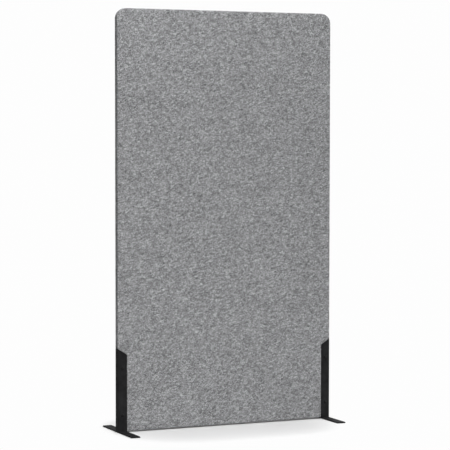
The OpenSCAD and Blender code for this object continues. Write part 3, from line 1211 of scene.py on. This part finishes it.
def floor_finish():
    finish = bpy.data.materials.new("floor")
    finish.use_nodes = True
    tree = finish.node_tree
    tree.nodes.clear()
    # Painted shadow: a mask by place on the floor, darkest along the panel, fading out towards the
    # ends and half a metre in front and behind, turns the white floor into a darker lit grey.
    parts = add_node(tree, "SeparateXYZ")
    field = placed(tree, size=(shadow_half_x, shadow_half_y, 1), shift=(shadow_shift, 0, 0))
    tree.links.new(field, parts.inputs["Vector"])
    across = maths(tree, "POWER", maths(tree, "ABSOLUTE", parts.outputs["X"]), end_sharpness)
    along = maths(tree, "POWER", maths(tree, "ABSOLUTE", parts.outputs["Y"]), front_sharpness)
    reach = maths(tree, "MINIMUM", maths(tree, "ADD", across, along), 1.0)
    open_floor = maths(tree, "POWER", reach, shadow_fade)
    shade = maths(tree, "MULTIPLY", maths(tree, "SUBTRACT", 1.0, open_floor), shadow_depth)
    # Where other parts come close, the white is dimmed further by ambient occlusion: painted
    # contact shade.
    corner_light = add_node(tree, "AmbientOcclusion", Distance=contact_reach)
    contact = maths(tree, "POWER", corner_light.outputs["AO"], contact_sharpness)
    fade = maths(tree, "MULTIPLY", maths(tree, "SUBTRACT", 1.0, shade), contact)
    # The painted crease shadow, a dark grey band, lies from just inside the front face to a little
    # way behind the panel.
    metres = add_node(tree, "SeparateXYZ")
    tree.links.new(placed(tree), metres.inputs["Vector"])
    front_from, front_to = (-face_y + inside for inside in crease_shadow_front)
    front = add_node(tree, "MapRange", From_Min=front_from, From_Max=front_to)
    tree.links.new(metres.outputs["Y"], front.inputs["Value"])
    back_from, back_to = (face_y + behind for behind in crease_shadow_back)
    back = add_node(tree, "MapRange", From_Min=back_from, From_Max=back_to)
    tree.links.new(metres.outputs["Y"], back.inputs["Value"])
    end_x = foot_high.x
    ends = add_node(tree, "MapRange", From_Min=end_x, From_Max=end_x - crease_shadow_end)
    tree.links.new(maths(tree, "ABSOLUTE", metres.outputs["X"]), ends.inputs["Value"])
    crease_shadow_mask = maths(tree, "MULTIPLY", front.outputs["Result"], back.outputs["Result"])
    crease_shadow_mask = maths(tree, "MULTIPLY", crease_shadow_mask, ends.outputs["Result"])
    fade = maths(tree, "MULTIPLY", fade, maths(tree, "SUBTRACT", 1.0, crease_shadow_mask))
    # The near floor's grey goes dark where the crease shadow is painted.
    near = add_node(tree, "BsdfDiffuse")
    stops = [(0, plain_grey(shadow_grey)), (1, plain_grey(crease_shadow_grey))]
    tree.links.new(tones(tree, crease_shadow_mask, stops), near.inputs["Color"])
    white = add_node(tree, "Emission", Color=(1, 1, 1, 1), Strength=white_level)
    shown = add_node(tree, "MixShader")
    tree.links.new(fade, shown.inputs["Fac"])
    tree.links.new(near.outputs[0], shown.inputs[1])
    tree.links.new(white.outputs[0], shown.inputs[2])
    # Painted bounce light: for light bouncing onto the screen, the floor is lighter where the
    # painted shadow lies.
    lit = add_node(tree, "BsdfDiffuse")
    stops = [(0, plain_grey(open_bounce)), (shadow_depth, plain_grey(painted_bounce_near))]
    tree.links.new(tones(tree, shade, stops), lit.inputs["Color"])
    choose = add_node(tree, "MixShader")
    tree.links.new(seen_rays(tree), choose.inputs["Fac"])
    tree.links.new(lit.outputs[0], choose.inputs[1])
    tree.links.new(shown.outputs[0], choose.inputs[2])
    out = add_node(tree, "OutputMaterial")
    tree.links.new(choose.outputs[0], out.inputs["Surface"])
    return finish


bpy.ops.mesh.primitive_plane_add(size=60, location=(0, 0, -0.0001))
floor = bpy.context.object
floor.name = "floor"
floor.data.materials.append(floor_finish())

world = bpy.data.worlds.new("sky")
world.use_nodes = True
bpy.context.scene.world = world
sky = world.node_tree
background = sky.nodes["Background"]
level = add_node(sky, "Mix", data_type="FLOAT", A=sky_level, B=white_level)
sky.links.new(seen_rays(sky), level.inputs["Factor"])
sky.links.new(level.outputs["Result"], background.inputs["Strength"])
background.inputs["Color"].default_value = (1, 1, 1, 1)


def lamp(name, place, aim, size, power):
    """A round soft lamp, turned towards a point."""
    data = bpy.data.lights.new(name, "AREA")
    data.shape = "DISK"
    data.size = size
    data.energy = power
    made = bpy.data.objects.new(name, data)
    bpy.context.scene.collection.objects.link(made)
    made.location = place
    made.rotation_euler = (Vector(aim) - Vector(place)).to_track_quat("-Z", "Y").to_euler()


lamp("lamp_low", (-0.45, -1.5, 0.30), (-0.1, 0, 0.35), 0.9, 4.6)
lamp("lamp_above", (-0.5, -1.2, 4.4), (0, -0.3, 0), 1.3, 124)
lamp("lamp_rear", (1.6, 3.0, 4.2), (0, 0, 1.0), 1.8, 170)

key_way = Vector((-1.30, 1.45, -0.50))
key_data = bpy.data.lights.new("lamp_key", "SUN")
key_data.energy = 1.2
key_data.angle = math.radians(25)
key = bpy.data.objects.new("lamp_key", key_data)
bpy.context.scene.collection.objects.link(key)
key.rotation_euler = key_way.to_track_quat("-Z", "Y").to_euler()

bpy.context.scene.view_settings.view_transform = "Standard"
